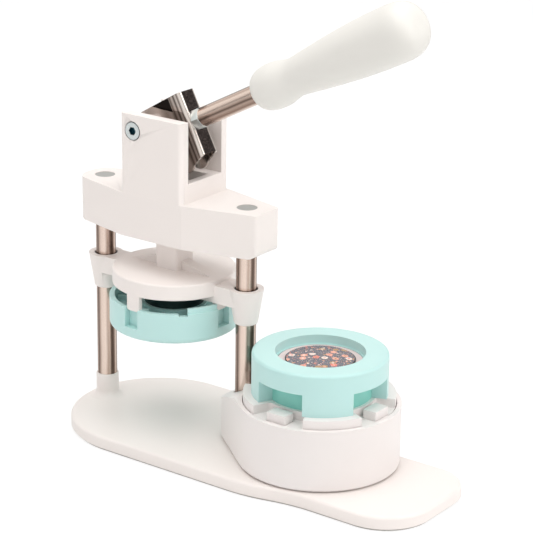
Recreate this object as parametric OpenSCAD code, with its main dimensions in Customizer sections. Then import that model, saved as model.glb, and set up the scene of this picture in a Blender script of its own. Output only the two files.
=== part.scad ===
// Button badge press: a hand lever press with a swing-out die tray.
// +Z is up. The Z axis is the ram axis, and z = 0 is the surface the press stands on.
// +X points from the ram to the swung-out tray, -Y is the front.

/* [Base] */
// Thickness of the base plate
base_t = 8.4; // [7.4:0.2:12]
// Thickness of the anti-slip sheet under the base
pad_t = 1.5; // [1:0.1:3]
// How far the anti-slip sheet stays inside the plate edge
pad_inset = 2; // [1:0.5:6]
// Half width of the broad part of the base
base_half_w = 60; // [57:1:68]
// Left end of the base, from the ram axis
base_left = 74; // [72:1:90]
// Right end of the base, from the centre of the swung-out tray
base_right = 97; // [80:1:115]
// Half width of the narrow end, front side
neck_front = 52; // [42:0.5:56]
// Half width of the narrow end, rear side
neck_rear = 38.5; // [34:0.5:50]
// Front corner radius at the narrow end
corner_front = 34; // [10:1:40]
// Rear corner radius at the narrow end
corner_rear = 26; // [10:1:32]
// Length of the curved shoulder between broad and narrow part
shoulder_len = 60; // [44:1:64]
// Start of the shoulder, from the tray centre (minus is toward the ram)
shoulder_from = -30; // [-34:1:-10]

/* [Columns] */
// Distance between the two column axes
col_gap = 120; // [116:1:140]
// Diameter of a column
col_d = 13.6; // [11:0.2:14.4]
// Diameter of the foot boss round a column
boss_d = 15.6; // [15.2:0.2:16.4]
// Height of the foot boss above the plate
boss_h = 17; // [12:0.5:19]
// Fillet at the foot of a boss
boss_fillet = 3; // [1:0.5:4]
// Depth to which a column stands below the plate top
col_sink = 1; // [0.5:0.1:2]
// Diameter of the column bolts
col_bolt_d = 8; // [5:0.5:9]
// Head diameter of the column bolts
col_head_d = 13; // [11:0.5:15]
// Head height of the column bolts
col_head_h = 3; // [2:0.2:4]
// Length of a column bolt inside its column
col_bolt_in = 20; // [10:1:30]

/* [Crosshead] */
// Height of the crosshead underside above the plate
cross_z = 130.4; // [128:0.2:150]
// Thickness of the crosshead
cross_h = 29.6; // [26:0.2:36]
// Reach of the crosshead right of the ram axis
cross_right = 76.5; // [74:0.5:90]
// Reach of the crosshead left of the ram axis
cross_left = 73.5; // [72:0.5:80]
// Radius of the round left nose
nose_r = 12.5; // [10:0.5:13]
// Corner radius of the right end
cross_corner = 2.5; // [1:0.5:6]
// Half width of the crosshead in the middle
cross_mid_w = 25; // [24.5:0.1:26]
// Half width of the crosshead at its ends
cross_end_w = 12.2; // [10:0.1:15]
// Corner radius of the crosshead ends
cross_end_r = 6; // [2:0.5:8]
// Depth of a column end below the crosshead top
col_recess = 0.3; // [0.2:0.1:2]
// Diameter of the set screws that lock the columns
set_screw_d = 6; // [4:0.5:7]
// Length of the set screws
set_screw_len = 6; // [4:0.5:7]

/* [Lever housing] */
// Half length of the housing along X
tower_half_x = 25.5; // [24.5:0.5:30]
// Half width of the housing along Y
tower_half_y = 25; // [24.5:0.1:26]
// Height of the housing above the crosshead
tower_h = 54; // [52:0.5:66]
// Radius of the upright edges
tower_edge_r = 3.5; // [1:0.5:6]
// Half width of the lever slot
slot_half_y = 17.4; // [15:0.1:18.5]
// Height of the slot floor above the crosshead
slot_floor = 13; // [8:0.5:13]
// Height of the rear end wall above the crosshead
end_wall_h = 28; // [20:0.5:29]
// Thickness of the rear end wall
end_wall_t = 5; // [3:0.5:5]
// Distance of the lever pivot behind the ram axis
pivot_back = 14.8; // [14.6:0.1:15.4]
// Height of the lever pivot above the crosshead
pivot_h = 43; // [42:0.5:52]
// Diameter of the pivot screw
pivot_d = 7; // [6:0.5:8.5]
// Head diameter of the pivot screw
pivot_head_d = 11.5; // [11:0.5:14]
// Head height of the pivot screw
pivot_head_h = 4.2; // [3:0.2:5]
// Thickness of the pivot washer
washer_t = 1.6; // [1:0.2:2.4]
// Height of the pivot nut
pivot_nut_h = 6.5; // [5:0.5:8]
// Width across the flats of the pivot nut
pivot_nut_af = 11.5; // [11:0.5:14]

/* [Lever] */
// Rise of the handle above level in the drawn position
lever_angle = 27.5; // [24:0.5:30]
// Radius of the bracket round the pivot
hub_r = 10.3; // [9.6:0.1:13]
// Thickness of the bracket sheet
sheet_t = 2; // [1.5:0.1:2.4]
// Free width between the bracket cheeks
cheek_gap = 12.6; // [12:0.1:13.2]
// Distance of the bracket front wall from the pivot
web_u = 31.3; // [30:0.1:34]
// Thickness of the bracket front wall
web_t = 3; // [2:0.5:4]
// Outer bend radius of the bracket
bend_r = 3; // [1:0.1:3.2]
// Rise of the bracket front wall above the pivot line
flange_top = 12; // [10:0.5:13]
// Drop of the bracket front edges below the pivot line
flange_low = 31; // [26:0.5:32]
// Radius of the rounded lower corner of a cheek
lobe_r = 7.5; // [6:0.5:8]
// Diameter of the chrome rod
rod_d = 13; // [12:0.5:14]
// Drop of the rod axis below the pivot line
rod_drop = 8.3; // [6:0.1:10]
// Diameter of the threaded rod end
stud_d = 10; // [8:0.5:11]
// Width across the flats of the rod nut
nut_af = 13; // [12:0.5:16]
// Thickness of the rod nut
nut_h = 6; // [5:0.5:10]
// Start of the grip, from the pivot along the rod
grip_u = 90.6; // [80:0.2:110]
// Length of the grip
grip_len = 131; // [110:0.1:150]
// Length of rod inside the grip
rod_in = 66; // [40:1:90]
// Radius of the grip at its front swelling
grip_ball_r = 14.8; // [13:0.1:17]
// Radius of the grip at its neck
grip_neck_r = 12.3; // [10:0.1:13]
// Largest radius of the grip
grip_belly_r = 18.2; // [16:0.1:21]
// Radius of the grip where it meets the rod
grip_mouth_r = 7.6; // [7.2:0.1:10]

/* [Ram] */
// Height of the ram top above the plate in the drawn position
ram_top = 107.7; // [106.5:0.1:109]
// Radius of the ram disc
disc_r = 41.5; // [40.5:0.5:42.5]
// Thickness of the ram disc
disc_h = 10.7; // [9:0.1:12]
// Rounding of the ram disc edges
disc_edge = 1.2; // [0.5:0.1:2]
// Top radius of a guide ear
ear_top_r = 11.7; // [11:0.1:12.5]
// Bottom radius of a guide ear
ear_low_r = 8.2; // [8:0.1:9]
// Height of a guide ear
ear_h = 24.2; // [20:0.1:27]
// Step from the disc top down to the ear top
ear_step = 2.7; // [1:0.1:5]
// Half width of the arms to the ears
arm_half_w = 9.5; // [7:0.1:11]
// Half length of the centre post along X
post_half_x = 9.2; // [9:0.1:12]
// Half width of the centre post along Y
post_half_y = 9.2; // [9:0.1:11]
// Height of the centre post above the disc
post_h = 19; // [18.5:0.5:21]
// Thickness of a yoke plate
yoke_t = 3; // [2:0.5:3.5]
// Half width of a yoke plate
yoke_half_x = 6.5; // [6:0.1:6.9]
// Outer distance over both yoke plates
yoke_over = 12; // [10:0.1:12]
// Diameter of the drive pin
pin_d = 8; // [6:0.5:8]
// Wall line of the guide bushes outside the column
ear_bush_t = 1.1; // [0.9:0.1:2]
// Length of the guide bushes
ear_bush_len = 14; // [10:1:18]
// Reach of the cheek well behind the ram axis
well_back = 10.5; // [10:0.5:12]
// Diameter of the yoke screws
yoke_screw_d = 5; // [4:0.5:5.5]
// Distance between the yoke screws
yoke_screw_gap = 9; // [8.9:0.1:9.4]
// Wall left in front of the blind thread of a yoke screw
yoke_thread = 1.6; // [1:0.1:2]
// Width of a die hook
hook_w = 10.5; // [8:0.5:11]
// Thickness of a die hook
hook_t = 3; // [2:0.1:3.4]
// Length of a die hook below the disc
hook_drop = 10.2; // [9.6:0.1:11]
// Turn of the hooks and the upper die round the ram axis
holder_turn = -2.5; // [-8:0.5:8]

/* [Upper die] */
// Outer radius of the upper die
udie_r = 43.5; // [43:0.1:44]
// Height of the upper die
udie_h = 20.9; // [19:0.1:23]
// Gap between the ram disc and the upper die rim
udie_gap = 8.6; // [8:0.1:9.2]
// Rounding of the lower edge of the upper die
udie_edge = 3.5; // [1:0.1:4]
// Wall thickness of the upper die
udie_wall = 3.4; // [2.4:0.1:4]
// Radius of the recess in the underside
udie_bore = 29; // [28:0.1:32]
// Depth of the recess in the underside
udie_sink = 8; // [6:0.1:9]
// Depth of the hook pockets below the rim
pocket_deep = 13.2; // [8:0.1:13.6]
// Height of the raised lip on the rim
lip_h = 3.4; // [1:0.1:4]

/* [Tray] */
// Outer radius of the tray
tray_r = 53; // [52:0.1:54]
// Radius of the tray tail round its column
tail_r = 15.8; // [14:0.1:22]
// Height of the tray rim above the plate
tray_h = 42; // [38:0.1:43]
// Gap between the tray and the plate
tray_lift = 0.8; // [0.6:0.1:1.5]
// Step of the shadow line round the tray foot
foot_step = 1.2; // [0.5:0.1:2]
// Radius of the pocket for the die seat
pocket_r = 50; // [49.4:0.1:50.4]
// Floor of the pocket above the plate
floor_h = 30; // [28:0.5:32]
// Slope of the cut on the tail
tail_slope = 26; // [18:1:30]
// Start of the tail slope, from the column axis toward the tray
tail_from = 15; // [12:0.5:20]
// Width of a tray lug
lug_w = 14; // [10:0.5:16]
// Inner radius of a tray lug
lug_in = 38.6; // [38:0.1:42]
// Outer radius of a tray lug
lug_out = 48; // [46:0.1:48.4]
// Rise of a lug above the rim
lug_rise = 5.6; // [3:0.1:5.7]
// Wall of the tray bush
bush_t = 1.9; // [1:0.1:2.4]
// Thickness of the tray washer
ring_t = 1; // [0.6:0.1:2]

/* [Lower die] */
// Rise of the seat top above the tray rim
seat_rise = 5.8; // [4.6:0.1:7]
// Outer radius of the seat
seat_r = 49.5; // [47:0.1:49.8]
// Inner end of a seat notch
notch_in = 36.6; // [35.5:0.1:37.8]
// Angle of a notch between two pads of the seat
notch_span = 45.6; // [40:0.2:50]
// Depth of the notch floor below the tray rim
flange_deep = 0.2; // [0.1:0.1:1]
// Clearance round a lug in the seat
notch_gap = 0.4; // [0.3:0.1:1]
// Outer radius of the lower die
ldie_r = 44.2; // [43:0.1:46]
// Height of the legs of the lower die
leg_h = 14.5; // [10:0.1:18]
// Angle spanned by one leg
leg_span = 43; // [30:1:60]
// Height of the lower die body above the legs
ldie_body_h = 13.4; // [12:0.1:16]
// Rounding of the top edge of the lower die
ldie_edge = 2; // [0.5:0.1:3]
// Radius of the opening in the top
mouth_r = 29.2; // [28.8:0.1:32]
// Depth of the opening down to its ledge
mouth_deep = 6; // [3.5:0.1:7]
// Radius inside the ledge
ledge_r = 27.9; // [27:0.1:28.2]
// Thickness of the ledge
ledge_t = 1.7; // [1:0.1:2.2]
// Outer radius of the inner core
core_r = 34.2; // [33:0.1:35]
// Thickness of the core floor
core_floor = 4; // [3:0.5:6]
// Turn of the lower die in its seat
die_turn = -3; // [-6:1:6]

/* [Badge and pad] */
// Wall clearance of the pad inside core and ledge
pad_gap = 0.3; // [0.2:0.05:0.5]
// Thickness of the pad disc
pad_disc_t = 4; // [3:0.2:5]
// Travel of the pad
pad_travel = 3; // [1:0.5:4]
// Radius of the badge
badge_r = 22.8; // [18:0.2:25]
// Height of the badge edge
badge_edge = 1.2; // [0.8:0.1:2]
// Rise of the badge dome above its edge
badge_dome = 1.2; // [0.6:0.1:2]
// Thickness of the printed sheet
print_t = 0.3; // [0.2:0.05:0.5]
// Thickness of the clear film
film_t = 0.3; // [0.2:0.05:0.5]
// Width of the plain edge round the print
rim_w = 0.8; // [0.4:0.1:2]
// Outer diameter of the pad spring
spring_d = 30; // [20:1:44]
// Wire diameter of the pad spring
wire_d = 2; // [1:0.1:3]

/* [Hidden] */
$fn = 96;
// A small overlap that makes cuts pass through faces.
eps = 0.5;
// Radial running clearance of pins, bushes and bores that turn or slide.
run = 0.05;
// A length that passes through any piece.
through = 3 * col_gap;
// A hair by which joined curves cross instead of only touching.
hair = 0.004;
// Clear distance kept between pieces that pass each other.
free = 0.3;
col_x = col_gap / 2;
col_r = col_d / 2;
boss_r = boss_d / 2;
tray_x = col_gap;
top_z = pad_t + base_t;
cross_b = top_z + cross_z;
cross_t = cross_b + cross_h;
pivot_z = cross_t + pivot_h;
pivot_r = pivot_d / 2;
// The cheek slot points this far below the rod line.
slot_turn = lever_angle + 15;
// Drive pin height in the drawn position, on the line of the slot.
pin_z = pivot_z - pivot_back * tan(15);
pin_r = pin_d / 2;
cheek_in = cheek_gap / 2;
cheek_out = cheek_in + sheet_t;
rod_r = rod_d / 2;
stud_r = stud_d / 2;
ram_z = top_z + ram_top;
disc_b = ram_z - disc_h;
ear_z = ram_z - ear_step;
die_rim = disc_b - udie_gap;
udie_b = die_rim - udie_h;
hook_in = disc_r - hook_t;
yoke_out = yoke_over / 2;
yoke_b = ram_z + 3;
screw_z = [ram_z + 6, ram_z + 6 + yoke_screw_gap];
foot_z = top_z + tray_lift;
rim_z = top_z + tray_h;
floor_z = top_z + floor_h;
seat_z = rim_z + seat_rise;
window_z = seat_z + leg_h;
ldie_t = window_z + ldie_body_h;
ledge_top = ldie_t - mouth_deep;
ledge_bot = ledge_top - ledge_t;
pad_top = ledge_top - 0.4;
pad_bot = ledge_bot - free - pad_disc_t;
core_bore = ledge_r + 0.7;
badge_z = pad_top;

// Two circles joined by their outer tangents.
module link(p, r1, q, r2) {
    d = q - p;
    a = atan2(d[1], d[0]);
    b = acos((r1 - r2) / norm(d));
    translate(p) circle(r1);
    translate(q) circle(r2);
    polygon([p + (r1 - hair) * [cos(a + b), sin(a + b)], q + (r2 - hair) * [cos(a + b), sin(a + b)],
        q + (r2 - hair) * [cos(a - b), sin(a - b)], p + (r1 - hair) * [cos(a - b), sin(a - b)]]);
}

// A rectangle of half sizes hx and hy with corners of radius r.
module round_box(hx, hy, r) {
    square([2 * (hx - r), 2 * hy], center = true);
    square([2 * hx, 2 * (hy - r)], center = true);
    for (sx = [-1, 1], sy = [-1, 1]) {
        translate([sx * (hx - r), sy * (hy - r)]) circle(r);
    }
}

// A straight tube from z1 to z2.
module tube(ro, ri, z1, z2) {
    translate([0, 0, z1]) difference() {
        cylinder(h = z2 - z1, r = ro);
        translate([0, 0, -eps]) cylinder(h = z2 - z1 + 2 * eps, r = ri);
    }
}

// A rod along Y from y1 to y2 at height z.
module y_rod(x, z, r, y1, y2) {
    translate([x, y2, z]) rotate([90, 0, 0]) cylinder(h = y2 - y1, r = r);
}

// Both column places.
module at_columns() {
    for (s = [-1, 1]) translate([s * col_x, 0, 0]) children();
}

// ---- Base -------------------------------------------------------------

// One side of the base outline: broad part, S-shaped shoulder, narrow end.
// The two shoulder arcs cross by a hair where their drawn-in curves meet.
module base_side(nk, corner, i) {
    s = base_half_w - nk;
    r = (shoulder_len * shoulder_len + s * s) / (4 * s);
    lean = shoulder_len / 2 / r;
    x0 = tray_x + shoulder_from;
    xs = x0 + shoulder_len / 2 - i * lean;
    x1 = x0 + shoulder_len;
    xr = tray_x + base_right - i;
    lc = base_half_w - base_left;
    cr = corner - i;
    translate([lc, -eps]) square([x0 - lc, base_half_w - i + eps]);
    intersection() {
        translate([x0, base_half_w - r]) circle(r - i, $fn = 240);
        translate([x0, -eps]) square([xs - x0 + 3, base_half_w + 1]);
    }
    difference() {
        translate([xs, -eps]) square([x1 - xs, base_half_w + eps]);
        translate([x1, nk - hair + r]) circle(r + i, $fn = 240);
    }
    translate([x1, -eps]) square([xr - cr - x1, nk - hair - i + eps]);
    translate([x1, -eps]) square([xr - x1, nk - hair - i - cr + eps]);
    translate([xr - cr, nk - hair - i - cr]) circle(cr);
}

// The base outline, drawn inward by i.
module base_plan(i) {
    translate([base_half_w - base_left, 0]) circle(base_half_w - i, $fn = 240);
    base_side(neck_rear, corner_rear, i);
    mirror([0, 1]) base_side(neck_front, corner_front, i);
}

// The cast foot boss of a column with its fillet.
module boss() {
    translate([0, 0, top_z - eps]) cylinder(h = boss_h + eps, r = boss_r);
    translate([0, 0, top_z]) rotate_extrude() difference() {
        translate([boss_r - 1, -eps]) square([boss_fillet + 1, boss_fillet + eps]);
        translate([boss_r + boss_fillet, boss_fillet]) circle(boss_fillet);
    }
}

module base_plate() {
    color("white") difference() {
        union() {
            translate([0, 0, pad_t]) linear_extrude(base_t) base_plan(0);
            at_columns() boss();
        }
        at_columns() {
            translate([0, 0, top_z - col_sink]) cylinder(h = boss_h + col_sink + eps, r = col_r);
            translate([0, 0, pad_t - eps]) cylinder(h = base_t, r = col_bolt_d / 2);
            translate([0, 0, pad_t - eps]) cylinder(h = col_head_h + 0.2 + eps, r = col_head_d / 2 + free);
        }
    }
}

module base_pad() {
    color("gainsboro") linear_extrude(pad_t) base_plan(pad_inset);
}

module column_bolts() {
    color("silver") at_columns() translate([0, 0, pad_t + 0.2]) difference() {
        union() {
            cylinder(h = col_head_h, r = col_head_d / 2);
            cylinder(h = base_t - 0.2 - col_sink + col_bolt_in, r = col_bolt_d / 2);
        }
        translate([0, 0, -eps]) cylinder(h = 2 + eps, r = col_bolt_d * 0.36, $fn = 6);
    }
}

// A steel guide column with its tapped foot.
module column() {
    z1 = top_z - col_sink;
    z2 = cross_t - col_recess;
    translate([0, 0, z1]) difference() {
        cylinder(h = z2 - z1, r = col_r);
        translate([0, 0, -eps]) cylinder(h = col_bolt_in + 2 + eps, r = col_bolt_d / 2);
    }
}

module column_left() {
    color("silver") translate([-col_x, 0, 0]) column();
}

module column_right() {
    color("silver") translate([col_x, 0, 0]) column();
}

// ---- Crosshead and lever housing --------------------------------------

// Half of one end of the crosshead outline: a straight taper from the
// housing to a rounded corner of radius r at distance l.
module cross_end(l, r) {
    m = (cross_mid_w - cross_end_w) / (cross_right - tower_half_x);
    a = atan(m);
    yc = cross_mid_w - m * (l - r - tower_half_x) - r / cos(a);
    polygon([[0, 0], [0, cross_mid_w], [tower_half_x, cross_mid_w],
        [l - r + r * sin(a), yc + r * cos(a)], [l, yc], [l, 0]]);
    translate([l - r, yc]) circle(r);
}

// The outline of the crosshead: square right end, round left nose.
module cross_plan() {
    for (t = [0, 1]) mirror([0, t]) {
        cross_end(cross_right, cross_corner);
        mirror([1, 0]) cross_end(cross_left, nose_r);
    }
}

// The front view of the crosshead with its rounded lower corners.
module cross_front() {
    r = cross_end_r;
    w = cross_left + cross_right;
    translate([-cross_left, cross_b + r]) square([w, cross_h - r]);
    translate([r - cross_left, cross_b]) square([w - 2 * r, cross_h]);
    for (x = [r - cross_left, cross_right - r]) translate([x, cross_b + r]) circle(r);
}

module crosshead() {
    lobe_x = 35.3 - pivot_back;
    color("white") difference() {
        union() {
            intersection() {
                translate([0, 0, cross_b]) linear_extrude(cross_h) cross_plan();
                rotate([90, 0, 0]) linear_extrude(4 * cross_mid_w, center = true) cross_front();
            }
            translate([0, 0, cross_t - eps]) linear_extrude(tower_h + eps)
                round_box(tower_half_x, tower_half_y, tower_edge_r);
        }
        // Slot for the lever, open upward and toward the handle.
        translate([end_wall_t - tower_half_x, -slot_half_y, cross_t + slot_floor])
            cube([2 * tower_half_x, 2 * slot_half_y, tower_h]);
        translate([-tower_half_x - eps, -slot_half_y, cross_t + end_wall_h])
            cube([2 * tower_half_x, 2 * slot_half_y, tower_h]);
        // Well for the lower corners of the lever cheeks.
        translate([-well_back, -cheek_out - 1, cross_t + slot_floor - 8.5])
            cube([lobe_x + well_back, 2 * cheek_out + 2, 9]);
        // Shaft for the yoke plates and the wider mouth for the centre post.
        translate([-yoke_half_x - 1, -yoke_out - 1, cross_b - eps])
            cube([2 * yoke_half_x + 2, 2 * yoke_out + 2, cross_h + slot_floor]);
        translate([-post_half_x - 2, -post_half_y - 2, cross_b - eps])
            cube([2 * post_half_x + 4, 2 * post_half_y + 4, 20 + eps]);
        // Pivot bore with the counterbore of the screw head.
        y_rod(-pivot_back, pivot_z, pivot_r, -40, 40);
        y_rod(-pivot_back, pivot_z, pivot_head_d / 2 + 0.7, -40, pivot_head_h - tower_half_y);
        // Column bores and the holes of their set screws.
        at_columns() {
            translate([0, 0, cross_b - eps]) cylinder(h = cross_h + 2 * eps, r = col_r);
            y_rod(0, cross_b + cross_h / 2, set_screw_d / 2, 0, 40);
        }
    }
}

module set_screws() {
    color("dimgray") at_columns() difference() {
        y_rod(0, cross_b + cross_h / 2, set_screw_d / 2, col_r, col_r + set_screw_len);
        translate([0, col_r + set_screw_len + eps, cross_b + cross_h / 2]) rotate([90, 0, 0])
            cylinder(h = 2.5 + eps, r = set_screw_d * 0.28, $fn = 6);
    }
}

module pivot_screw() {
    color("silver") difference() {
        union() {
            y_rod(-pivot_back, pivot_z, pivot_head_d / 2, -tower_half_y, pivot_head_h - tower_half_y);
            y_rod(-pivot_back, pivot_z, pivot_r, pivot_head_h - tower_half_y - eps,
                tower_half_y + washer_t + pivot_nut_h + 1.5);
        }
        translate([-pivot_back, 2.6 - tower_half_y, pivot_z]) rotate([90, 0, 0])
            cylinder(h = 2.6 + eps, r = pivot_d * 0.42, $fn = 6);
    }
}

module pivot_washer() {
    color("silver") difference() {
        y_rod(-pivot_back, pivot_z, pivot_d, tower_half_y, tower_half_y + washer_t);
        y_rod(-pivot_back, pivot_z, pivot_r, 0, through);
    }
}

module pivot_nut() {
    y1 = tower_half_y + washer_t;
    color("silver") difference() {
        translate([-pivot_back, y1 + pivot_nut_h, pivot_z]) rotate([90, 0, 0])
            cylinder(h = pivot_nut_h, r = pivot_nut_af / sqrt(3), $fn = 6);
        y_rod(-pivot_back, pivot_z, pivot_r, 0, through);
    }
}

// Two distance sleeves between the housing walls and the lever cheeks.
module pivot_spacers() {
    color("gainsboro") for (s = [0, 1]) mirror([0, s, 0]) difference() {
        y_rod(-pivot_back, pivot_z, pivot_r + 3, cheek_out + free, slot_half_y);
        y_rod(-pivot_back, pivot_z, pivot_r, 0, through);
    }
}

// ---- Lever ------------------------------------------------------------

// Places children in the lever frame: X along the rod, Z across it.
module on_lever() {
    translate([-pivot_back, 0, pivot_z]) rotate([0, -lever_angle, 0]) children();
}

// Side view of the bracket.
module cheek_plan() {
    lobe = [18, -flange_low];
    slot_w = pin_r + 0.8;
    front = web_u + web_t;
    difference() {
        union() {
            link([0, 0], hub_r, lobe, lobe_r);
            polygon([[0, hub_r], [web_u, flange_top], [front, flange_top], [front, -flange_low],
                [lobe[0] + 4, lobe[1] - 5], lobe, [0, 0]]);
        }
        circle(pivot_r + run);
        rotate([0, 0, -slot_turn]) {
            translate([pivot_back, 0]) circle(slot_w);
            translate([pivot_back + 3.3, 0]) circle(slot_w);
            translate([pivot_back, -slot_w]) square([3.3, 2 * slot_w]);
        }
    }
}

// The bent sheet bracket: two cheeks joined by the front wall.
module lever_head() {
    front = web_u + web_t;
    color("lightgray") on_lever() difference() {
        union() {
            for (y = [-cheek_in, cheek_out]) translate([0, y, 0])
                rotate([90, 0, 0]) linear_extrude(sheet_t) cheek_plan();
            translate([web_u, -cheek_in - eps, -flange_low])
                cube([web_t, cheek_gap + 2 * eps, flange_low + flange_top]);
        }
        // Outer roundings of the two bends.
        for (t = [0, 1]) mirror([0, t, 0]) translate([0, 0, -80]) linear_extrude(160)
            difference() {
                translate([front - bend_r, cheek_out - bend_r]) square(bend_r + 1);
                translate([front - bend_r, cheek_out - bend_r]) circle(bend_r);
            }
        translate([web_u - eps, 0, -rod_drop]) rotate([0, 90, 0])
            cylinder(h = web_t + 2 * eps, r = stud_r);
    }
}

module pivot_bush() {
    color("silver") difference() {
        y_rod(-pivot_back, pivot_z, pivot_r + 1.5, -cheek_in, cheek_in);
        y_rod(-pivot_back, pivot_z, pivot_r + run, -60, 60);
    }
}

module lever_rod() {
    u1 = web_u + web_t + nut_h;
    color("silver") on_lever() translate([0, 0, -rod_drop]) rotate([0, 90, 0]) {
        translate([0, 0, web_u]) cylinder(h = u1 - web_u + eps, r = stud_r);
        translate([0, 0, u1]) cylinder(h = grip_u + rod_in - u1, r = rod_r);
    }
}

module rod_nut() {
    color("gainsboro") on_lever() translate([web_u + web_t, 0, -rod_drop])
        rotate([0, 90, 0]) difference() {
            rotate([0, 0, 30]) cylinder(h = nut_h, r = nut_af / sqrt(3), $fn = 6);
            translate([0, 0, -eps]) cylinder(h = nut_h + 2 * eps, r = stud_r);
        }
}

// Grip radius at distance t from its front end: a rounded front swelling,
// a neck, a long belly and a blunt rounded end.
t_ball = 15.8;
t_neck = 32;
t_belly = grip_len - 18.4;
function grip_r(t) =
    t < t_ball ? grip_mouth_r + (grip_ball_r - grip_mouth_r)
        * pow(1 - pow((t_ball - t) / t_ball, 2.6), 1 / 2.2) :
    t < t_neck ? grip_ball_r - (grip_ball_r - grip_neck_r)
        * (1 - cos(180 * (t - t_ball) / (t_neck - t_ball))) / 2 :
    t < t_belly ? grip_neck_r + (grip_belly_r - grip_neck_r)
        * sin(90 * (t - t_neck) / (t_belly - t_neck)) :
    grip_belly_r * pow(max(0, 1 - pow((t - t_belly) / (grip_len - t_belly), 2.7)), 0.306);

module grip() {
    front = [for (i = [0 : 9]) t_ball * pow(i / 10, 2)];
    middle = [for (t = [t_ball : 4 : t_belly - 2]) t];
    back = [for (i = [0 : 13]) grip_len - (grip_len - t_belly) * pow(1 - i / 14, 2)];
    pts = [for (t = concat(front, middle, back)) [grip_r(t), t]];
    color("white") on_lever() translate([grip_u, 0, -rod_drop]) rotate([0, 90, 0])
        difference() {
            rotate_extrude() polygon(concat([[0, 0]], pts, [[0, grip_len]]));
            translate([0, 0, -eps]) cylinder(h = rod_in + eps, r = rod_r);
        }
}

// ---- Ram --------------------------------------------------------------

// A disc from z1 to z2 whose edges are rounded by e.
module soft_disc(r, z1, z2, e) {
    translate([0, 0, z1]) rotate_extrude() {
        square([r - e, z2 - z1]);
        translate([0, e]) square([r, z2 - z1 - 2 * e]);
        translate([r - e, e]) circle(e, $fn = 32);
        translate([r - e, z2 - z1 - e]) circle(e, $fn = 32);
    }
}

// A guide ear: a cone that narrows downward, with a rounded lower edge.
module ear() {
    e = 2;
    z1 = ear_z - ear_h;
    rotate_extrude() {
        translate([0, z1]) square([ear_low_r - e, ear_h]);
        polygon([[0, z1 + e], [ear_low_r, z1 + e], [ear_top_r, ear_z], [0, ear_z]]);
        translate([ear_low_r - e, z1 + e]) circle(e, $fn = 32);
    }
}

// One die hook, pointing along +X.
module hook() {
    intersection() {
        tube(disc_r, hook_in, disc_b - hook_drop, ram_z - disc_h / 2);
        rotate([90, 0, 90]) linear_extrude(60) translate([0, disc_b - hook_drop]) {
            translate([0, 10 + 1.5]) square([hook_w, 20], center = true);
            translate([0, 2]) square([hook_w - 3, 4], center = true);
            for (s = [-1, 1]) translate([s * (hook_w / 2 - 1.5), 1.5]) circle(1.5, $fn = 32);
        }
    }
}

module ram() {
    color("white") difference() {
        union() {
            soft_disc(disc_r, disc_b, ram_z, disc_edge);
            at_columns() ear();
            // Arms from the disc to the ears.
            translate([-col_x, -arm_half_w, ear_z - 12])
                cube([2 * col_x, 2 * arm_half_w, 12]);
            // Rib along the arms, rising to the centre post.
            rotate([90, 0, 0]) linear_extrude(8, center = true)
                polygon([[12 - col_x, ear_z - 1], [-post_half_x, ear_z + 9],
                    [post_half_x, ear_z + 9], [col_x - 12, ear_z - 1]]);
            translate([0, 0, ram_z - eps]) linear_extrude(post_h + eps)
                round_box(post_half_x, post_half_y, 2);
            // Hub that backs the upper die.
            translate([0, 0, die_rim - 4.4]) cylinder(h = disc_b - die_rim + 5, r = 20);
            for (a = [0 : 90 : 270]) rotate([0, 0, a + holder_turn]) hook();
        }
        at_columns() {
            translate([0, 0, ear_z - ear_h - eps]) cylinder(h = ear_h + 20, r = col_r + run);
            translate([0, 0, ear_z - ear_bush_len]) cylinder(h = ear_h, r = col_r + ear_bush_t);
        }
        // Slot for the two yoke plates and holes of their screws.
        translate([-yoke_half_x, -yoke_out, yoke_b])
            cube([2 * yoke_half_x, 2 * yoke_out, post_h]);
        for (z = screw_z) y_rod(0, z, yoke_screw_d / 2, yoke_thread - post_half_y, through);
    }
}

module guide_bushes() {
    color("dimgray") at_columns() tube(col_r + ear_bush_t, col_r + run,
        ear_z - ear_bush_len, ear_z - 0.8);
}

module ram_yoke() {
    color("silver") for (y = [yoke_t - yoke_out, yoke_out]) difference() {
        translate([0, y, 0]) rotate([90, 0, 0]) linear_extrude(yoke_t) {
            translate([0, pin_z]) circle(yoke_half_x);
            translate([-yoke_half_x, yoke_b]) square([2 * yoke_half_x, pin_z - yoke_b]);
        }
        y_rod(0, pin_z, pin_r, -60, 60);
        for (z = screw_z) y_rod(0, z, yoke_screw_d / 2, -60, 60);
    }
}

module yoke_screws() {
    color("silver") for (z = screw_z) difference() {
        union() {
            y_rod(0, z, yoke_screw_d / 2, yoke_thread - post_half_y, post_half_y + 0.2);
            y_rod(0, z, yoke_screw_d * 0.8, post_half_y, post_half_y + 1.4);
        }
        translate([0, post_half_y + 2.6, z]) rotate([90, 0, 0])
            cylinder(h = 2, r = yoke_screw_d * 0.3, $fn = 6);
    }
}

module drive_pin() {
    color("silver") y_rod(0, pin_z, pin_r, -cheek_out - 2, cheek_out + 2);
}

// Spring clips on both ends of the drive pin.
module pin_clips() {
    color("dimgray") for (s = [0, 1]) mirror([0, s, 0]) difference() {
        y_rod(0, pin_z, pin_r + 2, cheek_out + free, cheek_out + free + 1);
        y_rod(0, pin_z, pin_r, 0, 60);
    }
}

// ---- Upper die --------------------------------------------------------

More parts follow.
